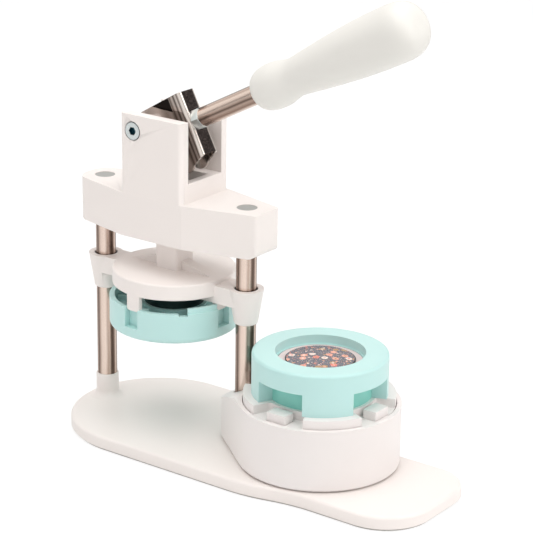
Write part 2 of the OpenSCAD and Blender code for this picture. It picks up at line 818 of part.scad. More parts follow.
module upper_die() {
    color("paleturquoise") rotate([0, 0, holder_turn]) difference() {
        union() {
            // Cup with a rounded lower edge.
            translate([0, 0, udie_b]) rotate_extrude() difference() {
                union() {
                    square([udie_r - udie_edge, udie_h]);
                    translate([0, udie_edge]) square([udie_r, udie_h - udie_edge]);
                    translate([udie_r - udie_edge, udie_edge]) circle(udie_edge);
                }
                translate([0, udie_sink + 3]) square([udie_r - udie_wall, udie_h]);
            }
            // Blocks that back the hook pockets.
            intersection() {
                tube(udie_r - udie_wall / 2, hook_in - 3, udie_b + udie_sink, die_rim);
                for (a = [0, 90]) rotate([0, 0, a])
                    translate([-udie_r, -hook_w / 2 - 3, 0]) cube([2 * udie_r, hook_w + 6, through]);
            }
            // Radial ribs and the seat of the ram hub.
            for (a = [22.5 : 45 : 360]) rotate([0, 0, a])
                translate([18, -1, udie_b + udie_sink + 2]) cube([udie_r - udie_wall - 17, 2, 5]);
            translate([0, 0, udie_b + udie_sink + 2])
                cylinder(h = udie_h - udie_sink - 2 - 4.4, r = 22);
            // Raised lip on a part of the rim.
            intersection() {
                tube(udie_r - 1, udie_r - udie_wall + 0.4, die_rim - eps, die_rim + lip_h);
                linear_extrude(through) polygon([[0, 0], 80 * [cos(37), -sin(37)],
                    80 * [cos(6), -sin(6)]]);
            }
        }
        // Recess in the underside and the bore of the punch.
        translate([0, 0, udie_b - eps]) cylinder(h = udie_sink + eps, r = udie_bore);
        translate([0, 0, udie_b - eps]) cylinder(h = udie_h + lip_h + 2, r = 16);
        // Hook pockets, open to the outside.
        difference() {
            for (a = [0, 90]) rotate([0, 0, a])
                translate([-udie_r - 1, -hook_w / 2 - free, die_rim - pocket_deep])
                    cube([2 * udie_r + 2, hook_w + 2 * free, pocket_deep + 20]);
            cylinder(h = through, r = hook_in);
        }
        // Notch in the rim beside the index line.
        rotate([0, 0, -41]) translate([udie_r - udie_wall - 1, -3, die_rim - 1.6]) cube([10, 6, 10]);
    }
}

// The pressing punch inside the upper die.
module upper_punch() {
    z1 = udie_b + udie_sink - 2.2;
    color("mediumaquamarine") {
        translate([0, 0, z1]) cylinder(h = 2.2, r = badge_r);
        translate([0, 0, z1]) cylinder(h = die_rim - 4.4 - z1, r = 16);
    }
}

// ---- Tray -------------------------------------------------------------

// The teardrop outline of the tray, drawn inward by i.
module tray_plan(i) {
    link([tray_x, 0], tray_r - i, [col_x, 0], tail_r - i);
}

module swing_tray() {
    color("white") difference() {
        union() {
            difference() {
                union() {
                    translate([0, 0, foot_z]) linear_extrude(foot_step + eps) tray_plan(foot_step);
                    translate([0, 0, foot_z + foot_step])
                        linear_extrude(rim_z - foot_z - foot_step) tray_plan(0);
                }
                // Pocket of the die seat.
                translate([tray_x, 0, floor_z]) cylinder(h = 60, r = pocket_r);
                // Sloped cut over the tail.
                translate([col_x + tail_from, -60, rim_z]) rotate([0, 180 - tail_slope, 0])
                    translate([0, 0, -60]) cube([90, 120, 60]);
            }
            // Four lugs that stand in the notches of the seat.
            for (a = [0 : 90 : 270]) translate([tray_x, 0, 0]) rotate([0, 0, a])
                translate([lug_in, -lug_w / 2, floor_z - eps])
                    cube([lug_out - lug_in, lug_w, rim_z + lug_rise - floor_z + eps]);
        }
        // Hollow underside.
        translate([tray_x, 0, foot_z - eps]) cylinder(h = floor_z - foot_z - 4, r = tray_r - 8);
        // Column bore, seat of the bush and room for the foot boss.
        translate([col_x, 0, 0]) {
            cylinder(h = through, r = col_r + 1);
            cylinder(h = top_z + 27, r = col_r + bush_t);
            cylinder(h = top_z + boss_h + ring_t + 0.1, r = boss_r + free);
            cylinder(h = top_z + boss_fillet + 0.5, r = boss_r + boss_fillet + 0.2);
        }
    }
}

module tray_bush() {
    color("dimgray") translate([col_x, 0, 0])
        tube(col_r + bush_t, col_r + run, top_z + boss_h + ring_t + 0.1, top_z + 27);
}

module tray_washer() {
    color("silver") translate([col_x, 0, 0])
        tube(boss_r, col_r, top_z + boss_h, top_z + boss_h + ring_t);
}

// Three low sliding pads under the tray rim.
module tray_glides() {
    color("gainsboro") for (a = [-60, 0, 60]) translate([tray_x, 0, 0]) rotate([0, 0, a])
        translate([tray_r - 5, 0, top_z + 0.1]) cylinder(h = tray_lift - 0.1, r = 2.6);
}

// ---- Lower die set ----------------------------------------------------

// A wide notch between two pads of the seat, pointing along +X, with
// rounded inner corners.
module notch_plan() {
    h = notch_span / 2;
    r = 4;
    c = (notch_in + r) * [cos(h), sin(h)] + r * [sin(h), -cos(h)];
    n = norm(c);
    t = atan2(c[1], c[0]);
    difference() {
        polygon([[0, 0], 80 * [cos(h), -sin(h)], [90, 0], 80 * [cos(h), sin(h)]]);
        circle(notch_in, $fn = 180);
        for (k = [-1, 1]) difference() {
            polygon([(notch_in - 2) * [cos(h + 1), k * sin(h + 1)],
                (notch_in + r) * [cos(h + 1), k * sin(h + 1)],
                [c[0], k * c[1]], (notch_in - 2) * [cos(t), k * sin(t)]]);
            translate([c[0], k * c[1]]) circle(r, $fn = 48);
        }
    }
}

// The die seat: a disc with holes for the four lugs, a core and four pads.
module die_seat() {
    flange_z = rim_z - flange_deep;
    g = notch_gap;
    color("white") translate([tray_x, 0, floor_z]) difference() {
        cylinder(h = seat_z - floor_z, r = seat_r, $fn = 180);
        translate([0, 0, -eps]) cylinder(h = seat_z, r = 24);
        for (a = [0 : 90 : 270]) rotate([0, 0, a]) {
            translate([0, 0, flange_z - floor_z]) linear_extrude(40) notch_plan();
            translate([lug_in - g, -lug_w / 2 - g, -eps])
                cube([lug_out - lug_in + 2 * g, lug_w + 2 * g, 80]);
        }
    }
}

module lower_die() {
    h = ldie_t - seat_z;
    color("paleturquoise") translate([tray_x, 0, seat_z]) rotate([0, 0, die_turn]) difference() {
        // Cup with a rounded top edge, a ledge and a wide bore for the core.
        rotate_extrude() difference() {
            union() {
                square([ldie_r, h - ldie_edge]);
                square([ldie_r - ldie_edge, h]);
                translate([ldie_r - ldie_edge, h - ldie_edge]) circle(ldie_edge);
            }
            translate([-eps, h - mouth_deep]) square([mouth_r + eps, 20]);
            translate([-eps, -eps]) square([ledge_r + eps, h + 20]);
            translate([-eps, -eps]) square([core_r + eps, ledge_bot - seat_z + eps]);
        }
        // Windows between the four legs.
        for (a = [0 : 90 : 270]) rotate([0, 0, a]) translate([0, 0, -eps])
            linear_extrude(leg_h + eps)
                polygon([[0, 0], 80 * [cos(45 - leg_span / 2), -sin(45 - leg_span / 2)], [90, 0],
                    80 * [cos(45 - leg_span / 2), sin(45 - leg_span / 2)]]);
    }
}

module lower_core() {
    h = ledge_bot - seat_z;
    color("mediumaquamarine") translate([tray_x, 0, seat_z]) difference() {
        cylinder(h = h, r = core_r);
        translate([0, 0, core_floor]) cylinder(h = h, r = core_bore);
        translate([0, 0, -eps]) cylinder(h = 20, r = 8);
    }
}

module die_pad() {
    color("mistyrose") translate([tray_x, 0, 0]) {
        translate([0, 0, pad_bot]) cylinder(h = pad_disc_t, r = core_bore - pad_gap);
        translate([0, 0, pad_bot]) cylinder(h = pad_top - pad_bot, r = ledge_r - pad_gap);
    }
}

// The return spring of the pad, as the sleeve that its coils fill.
module pad_spring() {
    color("silver") translate([tray_x, 0, 0])
        tube(spring_d / 2, spring_d / 2 - wire_d, seat_z + core_floor, pad_bot);
}

// Height of the badge dome above its edge at radius r.
function dome(r) = badge_dome * (1 - pow(r / badge_r, 2));
dome_n = 12;
print_r = badge_r - rim_w;

module badge_shell() {
    top = [for (i = [0 : dome_n]) let(r = badge_r * i / dome_n) [r, badge_edge + dome(r)]];
    color("black") translate([tray_x, 0, badge_z]) rotate_extrude() difference() {
        polygon(concat([[0, 0]], top, [[badge_r, 0]]));
        translate([-eps, -eps]) square([badge_r - 2 + eps, badge_edge - 0.3 + eps]);
    }
}

// A domed layer of radius r1 between lifts a and b over the shell.
module dome_layer(r1, a, b) {
    rs = [for (i = [0 : dome_n]) badge_r * i / dome_n];
    translate([tray_x, 0, badge_z]) rotate_extrude() intersection() {
        polygon(concat([for (r = rs) [r, badge_edge + dome(r) + a]],
            [for (i = [dome_n : -1 : 0]) [rs[i], badge_edge + dome(rs[i]) + b]]));
        square([r1, 20]);
    }
}

module badge_print() {
    color("darkslategray") dome_layer(print_r, 0, print_t);
}

module badge_film() {
    color("lightcyan") dome_layer(print_r, print_t, print_t + film_t);
}

base_plate();
base_pad();
column_bolts();
column_left();
column_right();
crosshead();
set_screws();
pivot_screw();
pivot_washer();
pivot_nut();
pivot_spacers();
lever_head();
pivot_bush();
lever_rod();
rod_nut();
grip();
ram();
guide_bushes();
ram_yoke();
yoke_screws();
drive_pin();
pin_clips();
upper_die();
upper_punch();
swing_tray();
tray_bush();
tray_washer();
tray_glides();
die_seat();
lower_die();
lower_core();
die_pad();
pad_spring();
badge_shell();
badge_print();
badge_film();
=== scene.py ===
"""Button badge press, dressed: smooth surfaces and procedural finishes round the press frame."""
import math
import bmesh
import bpy
import numpy as np
from mathutils import Matrix, Vector


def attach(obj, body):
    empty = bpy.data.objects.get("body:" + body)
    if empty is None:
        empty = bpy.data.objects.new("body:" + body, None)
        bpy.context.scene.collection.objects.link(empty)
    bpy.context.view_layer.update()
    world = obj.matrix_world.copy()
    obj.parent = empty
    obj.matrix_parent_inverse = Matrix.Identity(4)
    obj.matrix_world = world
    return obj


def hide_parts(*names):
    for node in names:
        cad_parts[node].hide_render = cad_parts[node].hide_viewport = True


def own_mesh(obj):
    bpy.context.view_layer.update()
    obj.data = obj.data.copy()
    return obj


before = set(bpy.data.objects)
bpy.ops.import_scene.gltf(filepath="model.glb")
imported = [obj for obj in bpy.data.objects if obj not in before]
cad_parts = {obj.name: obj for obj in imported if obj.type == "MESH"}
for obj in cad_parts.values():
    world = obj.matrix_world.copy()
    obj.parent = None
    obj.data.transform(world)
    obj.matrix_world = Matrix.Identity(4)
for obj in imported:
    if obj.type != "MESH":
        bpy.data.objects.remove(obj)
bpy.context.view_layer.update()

bl_info = {
    "name": "Badge Press",
    "version": (1, 0, 0),
    "blender": (4, 5, 0),
    "location": "3D View > Sidebar > Badge Press",
    "description": "Builds the surfaces, finishes and studio of a button badge press",
    "category": "Object",
}

MM = 0.001

# Places shared with the frame, in millimetres.
PLATE_LOW, PLATE_TOP = 1.5, 9.9
BASE_HALF, BASE_LEFT, BASE_RIGHT = 60.0, -74.0, 217.0
SHOULDER_X, SHOULDER_LENGTH = 90.0, 60.0
NECK_FRONT, CORNER_FRONT = 52.0, 34.0
NECK_REAR, CORNER_REAR = 38.5, 26.0
COLUMN_X, SAWN_Z = 60.0, 169.5
BOSS_R, BOSS_BORE, BOSS_HEIGHT, BOSS_ROUND = 7.8, 6.85, 17.0, 0.8
NARROW_FLARE = 2.9
CROSSHEAD_TOP, SET_SCREW_Z = 169.9, 155.1
PIVOT = np.array([-14.8, 0.0, 212.9])
SOCKET_Y = -24.8
LEVER_ANGLE = math.radians(27.5)
ROD_DROP, BRACKET_FRONT = 8.3, 34.3
GRIP_START, GRIP_LENGTH = 90.6, 131.0
HUB_R, HUB_TOP = 22.0, 106.8
TRAY_X, PAD_TRAVEL = 120.0, 3.0
SPRING_LOW, SPRING_HIGH = 61.7, 73.6
SPRING_R, SPRING_WIRE, SPRING_TURNS = 14.0, 1.0, 5
BADGE_Z, BADGE_R, PRINT_R = 79.2, 22.8, 22.0

# Mesh limits: distances in metres under which points are one, and angles in degrees.
SURFACE_MERGE, FRAME_MERGE = 1e-7, 2e-6
FLAT_ANGLE, SHARP_ANGLE, SURFACE_SHARP_ANGLE = 0.6, 35, 38


# ---- Surfaces ---------------------------------------------------------------

def grid_faces(nu, nv, wrap_u=False, wrap_v=False):
    """Faces of an nu by nv grid of points. Each joins a point, its next in u, the next in both, and its
    next in v."""
    rows, columns = nu if wrap_u else nu - 1, nv if wrap_v else nv - 1
    a, b = np.meshgrid(np.arange(rows), np.arange(columns), indexing="ij")
    a2, b2 = (a + 1) % nu, (b + 1) % nv
    return np.stack([a * nv + b, a2 * nv + b, a2 * nv + b2, a * nv + b2], -1).reshape(-1, 4)


def put_surface(name, points, faces, body, material, replaces=()):
    """A closed mesh from points in millimetres and faces, with outward normals, riding on a body."""
    mesh = bpy.data.meshes.new(name)
    mesh.from_pydata((np.asarray(points, float) * MM).tolist(), [], [list(map(int, f)) for f in faces])
    work = bmesh.new()
    work.from_mesh(mesh)
    bmesh.ops.remove_doubles(work, verts=work.verts, dist=SURFACE_MERGE)
    bmesh.ops.recalc_face_normals(work, faces=work.faces)
    work.to_mesh(mesh)
    work.free()
    mesh.shade_smooth()
    mesh.set_sharp_from_angle(angle=math.radians(SURFACE_SHARP_ANGLE))
    return place(bpy.data.objects.new(name, mesh), body, material, replaces)


def place(piece, body, material, replaces=()):
    """Link a finished piece, give it its material, and set what it rides on and stands for."""
    bpy.context.scene.collection.objects.link(piece)
    piece.data.materials.clear()
    piece.data.materials.append(material)
    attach(piece, body)
    if replaces:
        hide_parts(*replaces)
    return piece


def plate_surface(outline, section):
    """Points and faces of a plate: point (i, j) is outline point i moved inward along the outline's
    normal by section inset j, at section height j; both ends are closed by one flat face each."""
    outline, section = np.asarray(outline, float), np.asarray(section, float)
    along = np.roll(outline, -1, 0) - np.roll(outline, 1, 0)
    normal = np.stack([along[:, 1], -along[:, 0]], -1)
    normal /= np.linalg.norm(normal, axis=1)[:, None]
    xy = outline[:, None, :] - section[None, :, :1] * normal[:, None, :]
    z = np.broadcast_to(section[None, :, 1:], xy.shape[:2] + (1,))
    n, m = xy.shape[:2]
    ends = [[i * m for i in range(n)], [i * m + m - 1 for i in range(n)]]
    return np.concatenate([xy, z], -1).reshape(-1, 3), grid_faces(n, m, wrap_u=True).tolist() + ends


def revolve_surface(profile, turns=96, closed=False):
    """Points and faces of a turned form: point (i, j) is (r_j cos t_i, r_j sin t_i, h_j) for the profile's
    radius r and height h. An open profile starts and ends on the axis; a closed one is a ring section."""
    profile = np.asarray(profile, float)
    t = np.linspace(0, 2 * np.pi, turns, endpoint=False)[:, None]
    r, h = profile[None, :, 0], profile[None, :, 1]
    points = np.stack([r * np.cos(t), r * np.sin(t), h + 0 * t], -1)
    return points.reshape(-1, 3), grid_faces(turns, len(profile), wrap_u=True, wrap_v=closed)


def arc(centre, radius, start, end, count=12):
    """Points of a circle arc between two angles in degrees."""
    t = np.radians(np.linspace(start, end, count))
    return np.stack([centre[0] + radius * np.cos(t), centre[1] + radius * np.sin(t)], -1)


def tube_surface(path, radius, sides=12):
    """Points and faces of a round wire: each path point carries a circle square to the path, set by the
    path's direction and its fixed up direction; the two ends are closed by flat faces."""
    path = np.asarray(path, float)
    along = np.gradient(path, axis=0)
    along /= np.linalg.norm(along, axis=1)[:, None]
    side = np.cross(along, [0, 0, 1.0])
    side /= np.linalg.norm(side, axis=1)[:, None]
    up = np.cross(side, along)
    t = np.linspace(0, 2 * np.pi, sides, endpoint=False)
    circle = np.cos(t)[None, :, None] * side[:, None] + np.sin(t)[None, :, None] * up[:, None]
    points = path[:, None] + radius * circle
    n = len(path)
    faces = grid_faces(n, sides, wrap_v=True).tolist()
    return points.reshape(-1, 3), faces + [list(range(sides)), [(n - 1) * sides + k for k in range(sides)]]


def on_lever(points):
    """Points of the lever's own frame (along the rod, across, up) turned by the lever angle and moved to
    the pivot."""
    c, s = math.cos(LEVER_ANGLE), math.sin(LEVER_ANGLE)
    turn = np.array([[c, 0, s], [0, 1, 0], [-s, 0, c]])
    return np.asarray(points, float) @ turn + PIVOT


def softened(node, name, body, material, width, keep=None, segments=3, even=True):
    """A merged copy of a frame node whose sharp edges are rounded by a bevel of the given width in
    millimetres. keep takes edge midpoints in millimetres and returns which sharp edges are rounded. With
    even, large faces set the shading round the bevels."""
    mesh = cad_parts[node].data.copy()
    mesh.name = name
    work = bmesh.new()
    work.from_mesh(mesh)
    bmesh.ops.remove_doubles(work, verts=work.verts, dist=FRAME_MERGE)
    bmesh.ops.dissolve_limit(work, angle_limit=math.radians(FLAT_ANGLE), verts=work.verts, edges=work.edges)
    weight = work.edges.layers.float.new("bevel_weight_edge")
    limit = math.radians(SHARP_ANGLE)
    sharp = [e for e in work.edges if len(e.link_faces) == 2 and e.calc_face_angle(0) > limit]
    if sharp and keep is not None:
        mid = np.array([((e.verts[0].co + e.verts[1].co) / 2)[:] for e in sharp]) / MM
        sharp = [e for e, k in zip(sharp, keep(mid)) if k]
    for e in sharp:
        e[weight] = 1.0
    work.to_mesh(mesh)
    work.free()
    mesh.shade_smooth()
    piece = place(bpy.data.objects.new(name, mesh), body, material, (node,))
    bevel = piece.modifiers.new("edge_rounding", "BEVEL")
    bevel.limit_method = "WEIGHT"
    bevel.width = width * MM
    bevel.segments = segments
    bevel.use_clamp_overlap = True
    bevel.harden_normals = True
    bevel.miter_outer = "MITER_ARC"
    mesh.set_sharp_from_angle(angle=limit)
    if even:
        piece.modifiers.new("even_normals", "WEIGHTED_NORMAL").keep_sharp = True
    return piece


# ---- Finishes ---------------------------------------------------------------

# Painted shade: near-black colour for the ram's hub under the disc, where shade falls.
HUB_PAINTED_SHADE = (0.01, 0.03, 0.028, 1)
SAWN_STEEL = (0.47, 0.47, 0.46, 1)
SOCKET_SHADE = (0.05, 0.13, 0.16, 1)
# Painted shade for a corner of the bracket's cheeks.
CORNER_SHADE = (0.012, 0.009, 0.008, 1)
# Painted dark reflection of the bracket's front wall, speckled: position of the noise, colour.
DARK_REFLECTION_SPECKLE = ((0.44, (0.02, 0.013, 0.012, 1)), (0.62, (0.42, 0.34, 0.32, 1)))

# Painted reflection tone of polished steel round a bar: position of the angle (0 and 1 face -X), tone.
REFLECTION_STREAKS = ((0.0, 0.62), (0.05, 0.95), (0.12, 0.30), (0.18, 0.50), (0.215, 0.13), (0.25, 0.62), (0.28, 0.92),
           (0.34, 1.0), (0.38, 0.62), (0.41, 0.80), (0.43, 0.30), (0.46, 0.12), (0.49, 0.30), (0.515, 0.85),
           (0.545, 0.55), (0.57, 0.10), (0.62, 0.16), (0.66, 0.90), (0.76, 0.95), (0.80, 0.30), (0.84, 0.85),
           (0.93, 0.95), (0.97, 0.40), (1.0, 0.62))

# Painted reflection tone of the chromed bracket: share of its length from the rear to the bend, tone.
CHROME_REFLECTION_BANDS = ((0.0, 0.30), (0.30, 0.62), (0.52, 0.80), (0.66, 0.55), (0.74, 0.70), (0.80, 0.16),
                (0.84, 0.62), (0.875, 0.10), (0.91, 0.80), (0.94, 0.22), (0.965, 1.0), (0.99, 0.9))

# Spots of the print, small to large: cells per metre, radius in cells, share of the cells, shift.
SPOTS = ((720.0, 0.24, 0.40, 0.0), (380.0, 0.30, 0.26, 0.013), (165.0, 0.36, 0.36, 0.031))


def rgb(colour):
    """A colour property as four numbers."""
    return (colour[0], colour[1], colour[2], 1.0)


def shade(colour, factor):
    """A colour made lighter or darker."""
    return tuple(min(1.0, c * factor) for c in colour[:3]) + (1.0,)


def reflection_tone(colour, tone, green, blue):
    """A metal colour at a painted reflection tone from 0 to 1. Dark tones keep only about the given shares of
    green and blue.
    """
    warm = (colour[0], colour[1] * (green + (1 - green) * tone), colour[2] * (blue + (1 - blue) * tone))
    return shade(warm, tone)


def feed(tree, socket, value):
    """Link an input to an output socket, or set it to a value."""
    if hasattr(value, "is_output"):
        tree.links.new(value, socket)
    else:
        socket.default_value = value


def new_node(tree, kind, **inputs):
    """A shader node in the tree, its named inputs linked or set."""
    node = tree.nodes.new("ShaderNode" + kind)
    for name, value in inputs.items():
        feed(tree, node.inputs[name.replace("_", " ")], value)
    return node


def mixed_shaders(tree, factor, first, second):
    """A shader that goes from the first to the second as the factor goes from 0 to 1."""
    node = new_node(tree, "MixShader")
    for socket, value in zip(node.inputs, (factor, first, second)):
        feed(tree, socket, value)
    return node.outputs[0]


def fill_ramp(ramp, stops):
    """Give a colour ramp its stops, each a position and a colour."""
    while len(ramp.elements) < len(stops):
        ramp.elements.new(0.5)
    for element, (position, colour) in zip(ramp.elements, stops):
        element.position = position
        element.color = colour


class Finish:
    """A small helper that builds one node material."""

    def __init__(self, name):
        self.mat = bpy.data.materials.new(name)
        self.mat.use_nodes = True
        self.tree = self.mat.node_tree
        self.tree.nodes.clear()
        self.out = self.new("OutputMaterial")
        self.skin = self.new("BsdfPrincipled")
        feed(self.tree, self.out.inputs["Surface"], self.skin.outputs[0])
        self.coords = self.new("TexCoord").outputs["Object"]

    def new(self, kind, **inputs):
        """A node of this material, its named inputs linked or set."""
        return new_node(self.tree, kind, **inputs)

    def scaled(self, scale, turn=(0, 0, 0), shift=(0, 0, 0)):
        """The object's coordinates, scaled, turned and shifted."""
        return self.new("Mapping", Location=shift, Rotation=turn, Scale=scale, Vector=self.coords).outputs[0]

    def split(self, vector=None):
        """The three numbers of a vector, by default of the object's coordinates."""
        return tuple(self.new("SeparateXYZ", Vector=vector or self.coords).outputs)

    def noise(self, scale, detail=3.0, rough=0.5, vector=None):
        """Cloudy noise from 0 to 1, with scale in waves per metre of the object's coordinates."""
        node = self.new("TexNoise", Scale=scale, Detail=detail, Roughness=rough, Vector=vector or self.coords)
        return node.outputs["Fac"]

    def ramp(self, value, stops, kind="LINEAR"):
        """The colour of a value on a ramp of stops."""
        node = self.new("ValToRGB", Fac=value)
        node.color_ramp.interpolation = kind
        fill_ramp(node.color_ramp, stops)
        return node.outputs["Color"]

    def range(self, value, low, high):
        """A value from 0 to 1, spread from low to high."""
        return self.new("MapRange", Value=value, To_Min=low, To_Max=high).outputs[0]

    def mix(self, factor, a, b):
        """A colour that goes from a to b as the factor goes from 0 to 1."""
        node = self.new("Mix")
        node.data_type = "RGBA"
        for value, socket in ((factor, node.inputs[0]), (a, node.inputs[6]), (b, node.inputs[7])):
            feed(self.tree, socket, value)
        return node.outputs[2]

    def math(self, operation, *values):
        """The result of one math operation on sockets or numbers."""
        node = self.new("Math")
        node.operation = operation
        for socket, value in zip(node.inputs, values):
            feed(self.tree, socket, value)
        return node.outputs[0]

    def bump(self, height, distance, strength=1.0, under=None):
        """A normal raised by height, on top of another bump where one is given."""
        node = self.new("Bump", Distance=distance, Strength=strength, Height=height)
        if under is not None:
            feed(self.tree, node.inputs["Normal"], under)
        return node.outputs[0]

    def set(self, **values):
        """Link or set inputs of the surface shader."""
        for key, value in values.items():
            feed(self.tree, self.skin.inputs[key.replace("_", " ")], value)
        return self


def finish_once(name, build):
    """The named material, built the first time it is asked for, under a name of its own."""
    name = "press_" + name
    return bpy.data.materials.get(name) or build(Finish(name)).mat


def coated_metal(colour, hub=None):
    """Powder coat: fine orange-peel bumps, a faint tone drift and slightly uneven gloss. With hub, a radius
    and a height in metres, the round hub below that height is painted near black as shade."""
    def build(f):
        tone = f.mix(f.noise(14.0, 2.0), shade(colour, 0.975), shade(colour, 1.01))
        if hub:
            x, y, z = f.split()
            reach = f.math("ADD", f.math("MULTIPLY", x, x), f.math("MULTIPLY", y, y))
            inside = f.math("LESS_THAN", reach, hub[0] ** 2)
            # Painted shade: the round hub below the given height is coloured near black.
            tone = f.mix(f.math("MULTIPLY", inside, f.math("LESS_THAN", z, hub[1])), tone, HUB_PAINTED_SHADE)
        f.set(Base_Color=tone)
        f.set(Roughness=f.range(f.noise(90.0, 3.0), 0.34, 0.46), Specular_IOR_Level=0.42)
        peel = f.bump(f.noise(900.0, 2.0), 0.00003, 0.5)
        return f.set(Normal=f.bump(f.noise(5200.0, 2.0), 0.000008, 0.35, peel))
    return finish_once("coated_metal_shaded_hub" if hub else "coated_metal", build)


def moulded_plastic(name, colour, rough=0.32, grain=0.00001, inner=0.0):
    """Moulded plastic: faint spark grain, soft tone drift and slow flow marks in the gloss. inner is the
    share of light that passes under the surface."""
    def build(f):
        f.set(Base_Color=f.mix(f.noise(22.0, 3.0), shade(colour, 0.97), shade(colour, 1.02)))
        f.set(Roughness=f.range(f.noise(60.0, 4.0), rough - 0.05, rough + 0.07), IOR=1.49)
        if inner:
            f.set(Subsurface_Weight=inner, Subsurface_Scale=0.003, Subsurface_Radius=(1.0, 0.8, 0.7))
        return f.set(Normal=f.bump(f.noise(3000.0, 3.0), grain, 0.4))
    return finish_once(name, build)


def reflection_streaked_steel(name, colour, turn, shift, axis, top=None):
    """Polished bar steel: painted reflection streaks, light and dark, run along the bar, set by the angle
    round its axis, over fine drawn lines. Above the height top, in metres, the sawn end is dull and grey."""
    def build(f):
        x, y, z = f.split(f.scaled((1, 1, 1), turn, shift))
        angle = f.math("ARCTAN2", y, x if axis == "Z" else z)
        wander = f.range(f.noise(35.0, 2.0), -0.012, 0.012)
        round_bar = f.math("ADD", f.math("MULTIPLY_ADD", angle, 1 / (2 * math.pi), 0.5), wander)
        # Painted reflection: the tone round the bar follows the streak table.
        tone = f.ramp(round_bar, [(at, reflection_tone(colour, tone, 0.80, 0.70)) for at, tone in REFLECTION_STREAKS])
        stretch = (2600, 2600, 26) if axis == "Z" else (26, 2600, 2600)
        lines = f.noise(1.0, 5.0, 0.6, f.scaled(stretch, turn))
        gloss = f.range(lines, 0.14, 0.26)
        if top is not None:
            sawn = f.math("GREATER_THAN", f.split()[2], top)
            tone = f.mix(sawn, tone, SAWN_STEEL)
            gloss = f.math("MULTIPLY_ADD", sawn, 0.4, gloss)
        f.set(Metallic=0.9, Base_Color=tone, Roughness=gloss)
        return f.set(Normal=f.bump(lines, 0.000004, 0.5))
    return finish_once(name, build)


def bent_chrome(colour, turn, shift, front):
    """Chromed bent sheet: brown-grey cheeks with painted reflection bands that darken toward the bend, a
    painted highlight line on the bend, and a front wall painted dark as reflection, with a fine speckle. The
    bands follow the distance along the lever; front, in metres, is that of the wall's face."""
    rear, wall_half, skin = 0.012, 0.0052, 0.0002
    slope, slant_drop, waver, corner_end = 0.59, 0.0159, 0.0012, 0.024

    def build(f):
        x, y, z = f.split(f.scaled((1, 1, 1), turn, shift))
        span = f.math("MULTIPLY_ADD", x, 1 / (front + rear), rear / (front + rear))
        tone = f.ramp(span, [(at, reflection_tone(colour, tone, 0.82, 0.72)) for at, tone in CHROME_REFLECTION_BANDS])
        # Painted dark reflection: the front wall is mostly near black, speckled with lighter grey.
        speckle = f.ramp(f.noise(1500.0, 4.0, 0.7), DARK_REFLECTION_SPECKLE)
        middle = f.math("LESS_THAN", f.math("ABSOLUTE", y), wall_half)
        wall = f.math("MULTIPLY", middle, f.math("GREATER_THAN", x, front - skin))
        # Painted shade: a dark corner above a slanting line on the cheeks.
        slant = f.math("ADD", f.math("MULTIPLY_ADD", x, slope, -slant_drop), z)
        slant = f.math("ADD", slant, f.range(f.noise(120.0, 2.0), -waver, waver))
        corner = f.math("MULTIPLY", f.math("GREATER_THAN", slant, 0.0), f.math("LESS_THAN", x, corner_end))
        tone = f.mix(corner, tone, CORNER_SHADE)
        lines = f.noise(1.0, 5.0, 0.6, f.scaled((40, 2600, 2600), turn))
        f.set(Metallic=0.95, Base_Color=f.mix(wall, tone, speckle), Roughness=f.range(lines, 0.08, 0.2))
        return f.set(Normal=f.bump(lines, 0.000004, 0.5))
    return finish_once("bent_chrome", build)


def plated_steel(name, colour, rough=0.3):
    """Plated fastener steel: mottled tone, small pits and wear in the gloss."""
    def build(f):
        mottle = f.noise(500.0, 4.0, 0.6)
        f.set(Metallic=1.0, Base_Color=f.mix(mottle, shade(colour, 0.88), shade(colour, 1.08)))
        f.set(Roughness=f.range(f.noise(1400.0, 3.0), rough - 0.08, rough + 0.1))
        return f.set(Normal=f.bump(mottle, 0.00001, 0.4))
    return finish_once(name, build)


def socket_screw(colour, depth):
    """Plated screw whose socket, further along +Y than depth in metres, is painted dark as shade."""
    def build(f):
        # Painted shade inside the socket.
        inside = f.math("GREATER_THAN", f.split()[1], depth)
        mottle = f.noise(500.0, 4.0, 0.6)
        tone = f.mix(mottle, shade(colour, 0.85), shade(colour, 1.0))
        f.set(Metallic=1.0, Base_Color=f.mix(inside, tone, SOCKET_SHADE))
        f.set(Roughness=f.range(f.noise(1400.0, 3.0), 0.2, 0.4))
        return f.set(Normal=f.bump(mottle, 0.00001, 0.4))
    return finish_once("socket_screw", build)


def rubber_sheet(colour):
    """Closed-cell rubber: dull, with small cell pits."""
    def build(f):
        cells = f.noise(1800.0, 2.0)
        f.set(Base_Color=f.mix(cells, shade(colour, 0.9), shade(colour, 1.02)))
        f.set(Roughness=f.range(cells, 0.78, 0.92))
        return f.set(Normal=f.bump(cells, 0.00004, 0.5))
    return finish_once("rubber_sheet", build)


def printed_paper(ground, accents):
    """Printed badge sheet: a dark ground with three sizes of confetti spots, each spot coloured by its own
    cell, and a second colour in the heart of each spot."""
    def build(f):
        steps = [(k / len(accents), rgb(accent)) for k, accent in enumerate(accents)]
        result = f.mix(f.noise(260.0, 2.0), shade(ground, 0.7), shade(ground, 1.5))
        for scale, radius, share, shift in SPOTS:
            spread = f.scaled((1, 1, 1), (0, 0, 30 * shift), (shift, 2 * shift, 0))
            cell = f.new("TexVoronoi", Scale=scale, Randomness=0.8, Vector=spread)
            cell.voronoi_dimensions = "2D"
            own = f.new("SeparateColor", Color=cell.outputs["Color"]).outputs
            chosen = f.math("LESS_THAN", own[2], share)
            for reach, channel in ((radius, 0), (0.4 * radius, 1)):
                spot = f.math("LESS_THAN", cell.outputs["Distance"], reach)
                colour = f.ramp(own[channel], steps, "CONSTANT")
                result = f.mix(f.math("MULTIPLY", spot, chosen), result, colour)
        return f.set(Base_Color=result, Roughness=0.6, Specular_IOR_Level=0.15)
    return finish_once("printed_paper", build)


